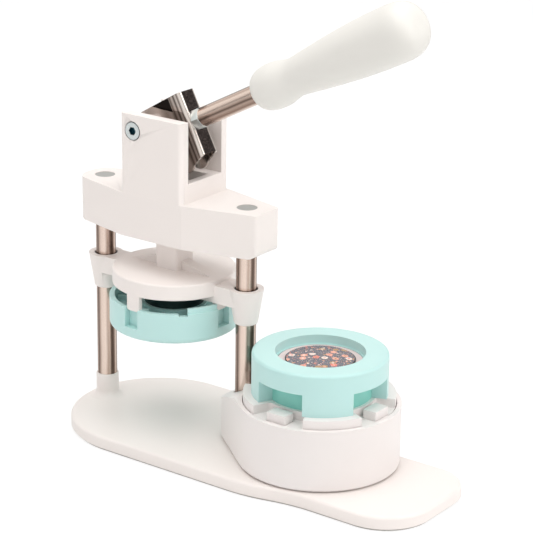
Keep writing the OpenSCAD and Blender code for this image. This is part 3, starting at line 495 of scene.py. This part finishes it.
def clear_film(colour):
    """Thin clear film: see-through, glossy, with slight waviness."""
    def build(f):
        f.set(Base_Color=f.mix(f.noise(40.0), shade(colour, 0.98), rgb(colour)), Roughness=0.05, Alpha=0.1)
        return f.set(Normal=f.bump(f.noise(120.0), 0.00002, 0.3))
    return finish_once("clear_film", build)


# ---- Properties -------------------------------------------------------------

def colour_property(name, description, default):
    return bpy.props.FloatVectorProperty(name=name, description=description, default=default,
                                         min=0.0, max=1.0, subtype="COLOR")


def length_property(name, description, default):
    return bpy.props.FloatProperty(name=name, description=description, default=default, min=0.0,
                                   subtype="DISTANCE", unit="LENGTH")


class PressColours(bpy.types.PropertyGroup):
    """Colours of the press."""
    coat: colour_property("Coat", "Powder coat of the cast parts", (0.90, 0.84, 0.81))
    white: colour_property("White plastic", "Tray and seat", (0.86, 0.815, 0.80))
    grip: colour_property("Grip", "Plastic of the handle", (0.80, 0.785, 0.745))
    mint: colour_property("Mint", "Plastic of both dies", (0.53, 0.79, 0.77))
    deep: colour_property("Deep mint", "Plastic inside the dies", (0.26, 0.66, 0.58))
    steel: colour_property("Steel", "Columns and handle rod", (0.80, 0.66, 0.58))
    chrome: colour_property("Chrome", "Lever bracket", (0.78, 0.72, 0.68))
    zinc: colour_property("Zinc", "Screws, nuts and washers", (0.74, 0.80, 0.80))
    ground: colour_property("Print ground", "Ground of the badge print", (0.050, 0.045, 0.075))
    coral: colour_property("Coral", "First spot colour", (0.85, 0.16, 0.10))
    peach: colour_property("Peach", "Second spot colour", (0.92, 0.40, 0.26))
    cream: colour_property("Cream", "Third spot colour", (0.90, 0.74, 0.66))
    ochre: colour_property("Ochre", "Fourth spot colour", (0.45, 0.22, 0.05))


class PressSizes(bpy.types.PropertyGroup):
    """Sizes that belong to the dressed surfaces."""
    plate_round: length_property("Plate rounding", "Rounding of the base plate's upper edge", 0.0022)
    cast_round: length_property("Cast rounding", "Rounding of the crosshead's edges", 0.0012)
    die_round: length_property("Die rounding", "Rounding of the die edges", 0.0006)
    sheet_round: length_property("Sheet rounding", "Rounding of the bracket's sheet edges", 0.0004)
    boss_flare: length_property("Boss flare", "Radius of the flare at the free column's foot", 0.005)


def colours():
    return bpy.context.scene.press_colours


def sizes():
    return bpy.context.scene.press_sizes


def coat():
    return coated_metal(colours().coat)


def white():
    return moulded_plastic("white_plastic", colours().white, 0.36)


def mint():
    return moulded_plastic("mint_plastic", colours().mint, 0.34, 0.000012, 0.12)


def deep_mint():
    return moulded_plastic("deep_mint", colours().deep, 0.4)


def zinc():
    return plated_steel("plated_steel", colours().zinc)


def dark_steel():
    return plated_steel("dark_steel", (0.06, 0.06, 0.065), 0.35)


def black_plastic():
    return moulded_plastic("bush_plastic", (0.015, 0.015, 0.017), 0.5)


def dress(node, material):
    """Give a frame node its finish."""
    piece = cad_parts[node]
    piece.data.materials.clear()
    piece.data.materials.append(material)


# ---- Pieces -----------------------------------------------------------------

def base_outline():
    """The base plate's edge: a half circle, two straight sides, an S-shaped shoulder on each side made of
    two equal arcs, and a narrow end with round corners."""
    def side(neck, corner):
        drop = BASE_HALF - neck
        radius = (SHOULDER_LENGTH ** 2 + drop ** 2) / (4 * drop)
        bend = math.degrees(math.asin(SHOULDER_LENGTH / 2 / radius))
        convex = arc((SHOULDER_X, radius - BASE_HALF), radius, -90, -90 + bend, 14)
        hollow = arc((SHOULDER_X + SHOULDER_LENGTH, -neck - radius), radius, 90 + bend, 90, 14)[1:]
        return np.concatenate([convex, hollow, arc((BASE_RIGHT - corner, corner - neck), corner, -90, 0, 24)])

    round_end = arc((BASE_LEFT + BASE_HALF, 0), BASE_HALF, 90, 270, 72)
    front, rear = side(NECK_FRONT, CORNER_FRONT), side(NECK_REAR, CORNER_REAR)[::-1] * [1, -1]
    return np.concatenate([round_end, front, rear])


class BasePlate(bpy.types.Operator):
    """Build the base plate with its rounded edge, the foot bosses and the anti-slip sheet"""
    bl_idname = "badge_press.base"
    bl_label = "Base"

    def execute(self, context):
        edge, lower_edge, sunk = sizes().plate_round / MM, 0.5, 0.2
        rounding = arc((edge, PLATE_TOP - edge), edge, 180, 90, 8)
        section = np.concatenate([[[lower_edge, PLATE_LOW], [0.0, PLATE_LOW + lower_edge]], rounding])
        points, faces = plate_surface(base_outline(), section)
        put_surface("base_plate_skin", points, faces, "frame", coat(), ("base_plate",))
        bosses = (("foot_boss_left", -1, sizes().boss_flare / MM), ("foot_boss_right", 1, NARROW_FLARE))
        for name, side, flare in bosses:
            foot = arc((BOSS_R + flare, PLATE_TOP + flare), flare, 270, 180, 12)
            head = arc((BOSS_R - BOSS_ROUND, PLATE_TOP + BOSS_HEIGHT - BOSS_ROUND), BOSS_ROUND, 0, 90, 6)
            bore = [[BOSS_BORE, PLATE_TOP + BOSS_HEIGHT], [BOSS_BORE, PLATE_TOP - sunk]]
            section = np.concatenate([foot, head, bore, [[BOSS_R + flare, PLATE_TOP - sunk]]])
            points, faces = revolve_surface(section, 72, closed=True)
            put_surface(name, points + [side * COLUMN_X, 0, 0], faces, "frame", coat())
        dress("base_pad", rubber_sheet((0.62, 0.60, 0.57)))
        return {"FINISHED"}


class Columns(bpy.types.Operator):
    """Finish the columns and the screws of the frame"""
    bl_idname = "badge_press.columns"
    bl_label = "Columns and screws"

    def execute(self, context):
        # The shift brings each column's axis to the middle of its painted reflection streaks.
        for node, side in (("column_left", 1), ("column_right", -1)):
            shift = (side * COLUMN_X * MM, 0, 0)
            dress(node, reflection_streaked_steel(node, colours().steel, (0, 0, 0), shift, "Z", SAWN_Z * MM))
        dress("pivot_screw", socket_screw(colours().zinc, SOCKET_Y * MM))
        for node in ("pivot_washer", "pivot_nut", "tray_washer"):
            dress(node, zinc())
        for node in ("column_bolts", "set_screws"):
            dress(node, dark_steel())
        dress("pivot_spacers", white())
        return {"FINISHED"}


class Crosshead(bpy.types.Operator):
    """Build the crosshead and lever housing with rounded cast edges"""
    bl_idname = "badge_press.crosshead"
    bl_label = "Crosshead and housing"

    def execute(self, context):
        def keep(mid):
            """Round all but the bores, the screw holes, the line where the housing stands flush on the
            crosshead, and the lower inside of the slot."""
            bore_reach, pivot_reach, screw_reach, screw_side = 8.5, 8, 4, 8
            housing_half, flush_side, level_gap = 27, 20, 0.1
            slot_half_x, slot_half_y, slot_top = 22, 13, 184
            x, y, z = mid.T
            off_column = np.abs(x) - COLUMN_X
            bore = np.hypot(off_column, y) < bore_reach
            pivot_hole = np.hypot(x - PIVOT[0], z - PIVOT[2]) < pivot_reach
            near_screw = (np.abs(off_column) < screw_reach) & (np.abs(z - SET_SCREW_Z) < screw_reach)
            screw_hole = near_screw & (y > screw_side)
            level = np.abs(z - CROSSHEAD_TOP) < level_gap
            flush = level & (np.abs(x) < housing_half) & (np.abs(y) > flush_side)
            slot = (np.abs(x) < slot_half_x) & (np.abs(y) < slot_half_y) & (z < slot_top)
            return ~(bore | pivot_hole | screw_hole | flush | slot)
        softened("crosshead", "crosshead_casting", "frame", coat(),
                 sizes().cast_round / MM, keep, even=False)
        return {"FINISHED"}


def grip_profile():
    """The grip's section, radius and length along it: a rounded mouth, a ball, a neck, a long belly and a
    blunt end with a small dimple, each eased between the radii of its ends, and the bore for the rod."""
    mouth_r, ball_r, neck_r, belly_r, bore_r = 7.6, 14.8, 12.3, 18.2, 6.55
    ball, neck, belly, bore_end = 15.8, 32.0, GRIP_LENGTH - 18.4, 66.0
    dimple, dimple_r = 0.5, 1.3
    end = GRIP_LENGTH - belly
    t = np.concatenate([ball * np.linspace(0, 1, 16, endpoint=False) ** 2,
                        np.linspace(ball, belly, 56, endpoint=False),
                        GRIP_LENGTH - end * np.linspace(1, 0, 26) ** 2])
    rise = np.clip(1 - np.clip((ball - t) / ball, 0, 1) ** 2.6, 0, 1) ** (1 / 2.2)
    mouth = mouth_r + (ball_r - mouth_r) * rise
    waist = ball_r - (ball_r - neck_r) * (1 - np.cos(np.pi * (t - ball) / (neck - ball))) / 2
    swell = neck_r + (belly_r - neck_r) * np.sin(np.pi / 2 * np.clip((t - neck) / (belly - neck), 0, 1))
    blunt = belly_r * np.clip(1 - np.clip((t - belly) / end, 0, 1) ** 2.7, 0, 1) ** 0.306
    r = np.where(t < ball, mouth, np.where(t < neck, waist, np.where(t < belly, swell, blunt)))
    u = t - dimple * np.exp(-((r / dimple_r) ** 2)) * (t > belly)
    rim = [[bore_r, 1.2], [6.9, 0.2]]
    bore = [[0.0, GRIP_LENGTH - dimple], [0.0, bore_end], [bore_r, bore_end]]
    return np.concatenate([rim, np.stack([r, u], -1)[1:], bore])


class Lever(bpy.types.Operator):
    """Build the lever: sheet bracket, rod, nut and turned grip"""
    bl_idname = "badge_press.lever"
    bl_label = "Lever"

    def execute(self, context):
        # Mappings from the frame to the lever: turned level, then shifted to the pivot or the rod's axis.
        turn = (0, LEVER_ANGLE, 0)
        level = Matrix.Rotation(LEVER_ANGLE, 3, "Y") @ Vector(PIVOT * MM)
        rod_shift = tuple(Vector((0, 0, ROD_DROP * MM)) - level)
        chrome = bent_chrome(colours().chrome, turn, tuple(-level), BRACKET_FRONT * MM)
        softened("lever_head", "lever_bracket", "lever", chrome,
                 sizes().sheet_round / MM, segments=2)
        softened("rod_nut", "rod_nut_plated", "lever", zinc(), 0.5)
        dress("lever_rod", reflection_streaked_steel("rod_steel", colours().steel, turn, rod_shift, "X"))
        dress("pivot_bush", zinc())
        points, faces = revolve_surface(grip_profile(), 96, closed=True)
        points = np.stack([points[:, 2] + GRIP_START, points[:, 1], -points[:, 0] - ROD_DROP], -1)
        grip = moulded_plastic("grip_plastic", colours().grip, 0.42, 0.00002)
        put_surface("grip_turned", on_lever(points), faces, "lever", grip, ("grip",))
        return {"FINISHED"}


class Ram(bpy.types.Operator):
    """Build the ram with its ears and hooks, and finish the yoke and drive pin"""
    bl_idname = "badge_press.ram"
    bl_label = "Ram"

    def execute(self, context):
        def keep(mid):
            """Round all but the ears' bores, the post under the yoke and its screw holes."""
            ear_reach, post_half_x, post_half_y = 10, 9, 7
            screw_half, screws_low, screws_high = 4, 119, 136
            x, y, z = mid.T
            ear_bore = np.hypot(np.abs(x) - COLUMN_X, y) < ear_reach
            post = (np.abs(x) < post_half_x) & (np.abs(y) < post_half_y)
            screw_hole = (np.abs(x) < screw_half) & (z > screws_low) & (z < screws_high)
            return ~(ear_bore | post | screw_hole)
        # Painted shade: the ram's hub under the disc is coloured near black.
        coat_and_shaded_hub = coated_metal(colours().coat, (HUB_R * MM, HUB_TOP * MM))
        softened("ram", "ram_casting", "ram", coat_and_shaded_hub, 0.7, keep, segments=2)
        for node in ("ram_yoke", "yoke_screws", "drive_pin"):
            dress(node, zinc())
        dress("pin_clips", dark_steel())
        dress("guide_bushes", black_plastic())
        return {"FINISHED"}


class UpperDie(bpy.types.Operator):
    """Build the upper die with rounded edges, and finish its punch"""
    bl_idname = "badge_press.upper_die"
    bl_label = "Upper die"

    def execute(self, context):
        softened("upper_die", "upper_die_shell", "ram", mint(),
                 sizes().die_round / MM, segments=2)
        dress("upper_punch", deep_mint())
        return {"FINISHED"}


class Tray(bpy.types.Operator):
    """Build the swing-out tray and its die seat"""
    bl_idname = "badge_press.tray"
    bl_label = "Tray and seat"

    def execute(self, context):
        def keep(mid):
            """Round all but the column's bore and the hollow underside."""
            bore_reach, hollow_top = 12, 20
            x, y, z = mid.T
            return (np.hypot(x - COLUMN_X, y) >= bore_reach) & (z > hollow_top)
        softened("swing_tray", "tray_shell", "tray", white(), 0.8, keep)
        softened("die_seat", "die_seat_ring", "tray", white(), 0.8)
        dress("tray_bush", black_plastic())
        dress("tray_glides", black_plastic())
        return {"FINISHED"}


class LowerDie(bpy.types.Operator):
    """Build the lower die and finish its inner core"""
    bl_idname = "badge_press.lower_die"
    bl_label = "Lower die"

    def execute(self, context):
        softened("lower_die", "lower_die_ring", "die", mint(), sizes().die_round / MM)
        dress("lower_core", deep_mint())
        return {"FINISHED"}


def spring_path():
    """The middle line of the pad's coil: the angle grows evenly, and the height rises evenly between two
    flat end turns."""
    t = np.linspace(0, 1, 220)
    flat_turn = 0.12
    rise = np.clip((t - flat_turn) / (1 - 2 * flat_turn), 0, 1)
    z = SPRING_LOW + SPRING_WIRE + (SPRING_HIGH - SPRING_LOW - 2 * SPRING_WIRE) * rise
    angle = 2 * np.pi * SPRING_TURNS * t
    return np.stack([TRAY_X + SPRING_R * np.cos(angle), SPRING_R * np.sin(angle), z], -1)


class PadAndBadge(bpy.types.Operator):
    """Build the pad, its coil spring and the badge"""
    bl_idname = "badge_press.badge"
    bl_label = "Pad and badge"

    def execute(self, context):
        dress("die_pad", moulded_plastic("pad_plastic", (0.80, 0.66, 0.65), 0.45))
        dress("badge_shell", moulded_plastic("badge_metal", (0.008, 0.008, 0.01), 0.2))
        points, faces = tube_surface(spring_path(), SPRING_WIRE)
        coil = put_surface("pad_spring_coil", points, faces, "pad", zinc(), ("pad_spring",))
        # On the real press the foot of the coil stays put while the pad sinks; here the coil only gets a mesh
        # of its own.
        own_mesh(coil)
        # The print and the film are domed layers: their height falls with the square of the radius.
        crown, print_thick, film_thick, film_gap = 1.2, 0.3, 0.3, 0.02
        r = np.linspace(0, PRINT_R, 40)
        under = np.stack([r, BADGE_Z + crown + crown * (1 - (r / BADGE_R) ** 2)], -1)
        top = under + [0, print_thick]
        inks = colours()
        paper = printed_paper(inks.ground, (inks.coral, inks.cream, inks.peach, inks.ochre))
        film = clear_film((0.95, 0.97, 0.98))
        for name, section, slot, material, node in (
                ("badge_print_sheet", [top, under[::-1]], "printed_paper", paper, "badge_print"),
                ("badge_film_layer", [top + [0, film_thick], top[::-1] + [0, film_gap]], "clear_film", film,
                 "badge_film")):
            points, faces = revolve_surface(np.concatenate(section), 96)
            put_surface(name, points + [TRAY_X, 0, 0], faces, "pad", material, (node,))
        return {"FINISHED"}


# ---- Studio -----------------------------------------------------------------

# Area lights: name, place and aim in metres, size in metres, power in watts.
LIGHTS = (("top_panel", (0.1, -0.1, 1.6), (0, 0, 0.1), 1.6, 15.5),
          ("front_panel", (-0.1, -1.25, 1.3), (0, 0, 0.05), 1.2, 2.6),
          ("right_panel", (1.6, 0.3, 1.0), (0, 0, 0.15), 1.4, 10.0))
LIGHT_COLOUR = (1.0, 0.985, 0.97)

FLOOR_HALF, FLOOR_GLOW, FLOOR_GLOW_SHARE = 6, 1.12, 0.72
SKY_STRENGTH = 0.58

# What shiny parts mirror round the horizon: position of the angle (0 and 1 face -X), brightness.
SKY_BANDS = ((0.0, 1.0), (0.10, 1.0), (0.13, 0.10), (0.17, 0.08), (0.20, 0.9), (0.42, 1.0), (0.45, 0.2),
             (0.48, 0.2), (0.51, 1.0), (0.59, 1.0), (0.61, 0.22), (0.68, 0.22), (0.70, 1.0), (0.75, 1.0),
             (0.77, 0.15), (0.80, 0.15), (0.83, 1.0), (1.0, 1.0))

# Camera: azimuth, downward pitch and roll in degrees, place in metres, focal length in picture widths.
CAMERA_ANGLES = (36.27, 18.96, 0.80)
CAMERA_PLACE = (0.8272, -1.0236, 0.56935)
CAMERA_FOCAL, SENSOR_WIDTH = 2084.27 / 533, 36.0


class Studio(bpy.types.Operator):
    """Set the pale floor, the soft lights, the sky and the camera"""
    bl_idname = "badge_press.studio"
    bl_label = "Studio"

    def execute(self, context):
        scene = context.scene
        scene.view_settings.view_transform = "Standard"
        self.floor(scene)
        self.sky(scene)
        self.lights(scene)
        self.camera(scene)
        return {"FINISHED"}

    def lights(self, scene):
        for name, place_at, aim, size, power in LIGHTS:
            data = bpy.data.lights.new(name, "AREA")
            data.size, data.energy, data.color = size, power, LIGHT_COLOUR
            lamp = bpy.data.objects.new(name, data)
            lamp.location = place_at
            back = np.array(place_at, float) - np.array(aim, float)
            lamp.rotation_mode = "QUATERNION"
            lamp.rotation_quaternion = Vector(back).to_track_quat("Z", "Y")
            scene.collection.objects.link(lamp)

    def floor(self, scene):
        """A pale floor that takes shadows and also glows toward the camera."""
        mesh = bpy.data.meshes.new("studio_floor")
        corners = [(x * FLOOR_HALF, y * FLOOR_HALF, 0) for x, y in ((-1, -1), (1, -1), (1, 1), (-1, 1))]
        mesh.from_pydata(corners, [], [(0, 1, 2, 3)])
        floor = bpy.data.objects.new("studio_floor", mesh)
        scene.collection.objects.link(floor)
        f = Finish("studio_floor")
        f.set(Base_Color=(0.9, 0.9, 0.9, 1), Roughness=0.9, Specular_IOR_Level=0.1)
        glow = f.new("Emission", Strength=FLOOR_GLOW)
        seen = f.math("MULTIPLY", f.new("LightPath").outputs["Is Camera Ray"], FLOOR_GLOW_SHARE)
        blend = mixed_shaders(f.tree, seen, f.skin.outputs[0], glow.outputs[0])
        feed(f.tree, f.out.inputs["Surface"], blend)
        mesh.materials.append(f.mat)

    def sky(self, scene):
        """White to the camera, bright and dark bands to shiny parts, and a soft even light to the rest."""
        world = bpy.data.worlds.new("studio_sky")
        scene.world = world
        world.use_nodes = True
        tree = world.node_tree
        tree.nodes.clear()
        soft = new_node(tree, "Background", Color=(1.0, 0.99, 0.98, 1), Strength=SKY_STRENGTH)
        plain = new_node(tree, "Background", Color=(1, 1, 1, 1), Strength=1.0)
        facing = new_node(tree, "TexCoord").outputs["Generated"]
        x, y = tuple(new_node(tree, "SeparateXYZ", Vector=facing).outputs)[:2]
        turn = new_node(tree, "Math")
        turn.operation = "ARCTAN2"
        feed(tree, turn.inputs[0], y)
        feed(tree, turn.inputs[1], x)
        span = new_node(tree, "MapRange", Value=turn.outputs[0], From_Min=-math.pi, From_Max=math.pi)
        bands = new_node(tree, "ValToRGB", Fac=span.outputs[0])
        fill_ramp(bands.color_ramp, [(at, (tone, tone * 0.98, tone * 0.95, 1)) for at, tone in SKY_BANDS])
        mirrored = new_node(tree, "Background", Color=bands.outputs["Color"], Strength=1.0)
        path = new_node(tree, "LightPath").outputs
        light = mixed_shaders(tree, path["Is Glossy Ray"], soft.outputs[0], mirrored.outputs[0])
        shown = mixed_shaders(tree, path["Is Camera Ray"], light, plain.outputs[0])
        new_node(tree, "OutputWorld", Surface=shown)

    def camera(self, scene):
        azimuth, pitch, roll = (math.radians(angle) for angle in CAMERA_ANGLES)
        level = math.cos(pitch)
        forward = np.array([-math.sin(azimuth) * level, math.cos(azimuth) * level, -math.sin(pitch)])
        right = np.array([math.cos(azimuth), math.sin(azimuth), 0.0])
        up = np.cross(right, forward)
        x = math.cos(roll) * right + math.sin(roll) * up
        y = -math.sin(roll) * right + math.cos(roll) * up
        lens = bpy.data.cameras.new("studio_camera")
        lens.sensor_width, lens.lens = SENSOR_WIDTH, CAMERA_FOCAL * SENSOR_WIDTH
        lens.clip_start, lens.clip_end = 0.05, 50
        camera = bpy.data.objects.new("studio_camera", lens)
        turn = Matrix(np.stack([x, y, -forward], -1).tolist()).to_4x4()
        camera.matrix_world = Matrix.Translation(CAMERA_PLACE) @ turn
        scene.collection.objects.link(camera)
        scene.camera = camera


OPERATORS = (Studio, BasePlate, Columns, Crosshead, Lever, Ram, UpperDie, Tray, LowerDie, PadAndBadge)


class PressPanel(bpy.types.Panel):
    """Buttons that build the press piece by piece"""
    bl_idname = "VIEW3D_PT_badge_press"
    bl_label = "Badge Press"
    bl_space_type = "VIEW_3D"
    bl_region_type = "UI"
    bl_category = "Badge Press"

    def draw(self, context):
        for group in (context.scene.press_colours, context.scene.press_sizes):
            box = self.layout.box()
            for key in group.__annotations__:
                box.prop(group, key)
        for operator in OPERATORS:
            self.layout.operator(operator.bl_idname)


CLASSES = (PressColours, PressSizes) + OPERATORS + (PressPanel,)


def register():
    for cls in CLASSES:
        bpy.utils.register_class(cls)
    bpy.types.Scene.press_colours = bpy.props.PointerProperty(type=PressColours)
    bpy.types.Scene.press_sizes = bpy.props.PointerProperty(type=PressSizes)


def unregister():
    del bpy.types.Scene.press_sizes
    del bpy.types.Scene.press_colours
    for cls in reversed(CLASSES):
        bpy.utils.unregister_class(cls)


def main():
    register()
    bpy.ops.badge_press.studio()
    bpy.ops.badge_press.base()
    bpy.ops.badge_press.columns()
    bpy.ops.badge_press.crosshead()
    bpy.ops.badge_press.lever()
    bpy.ops.badge_press.ram()
    bpy.ops.badge_press.upper_die()
    bpy.ops.badge_press.tray()
    bpy.ops.badge_press.lower_die()
    bpy.ops.badge_press.badge()


if __name__ == "__main__":
    main()
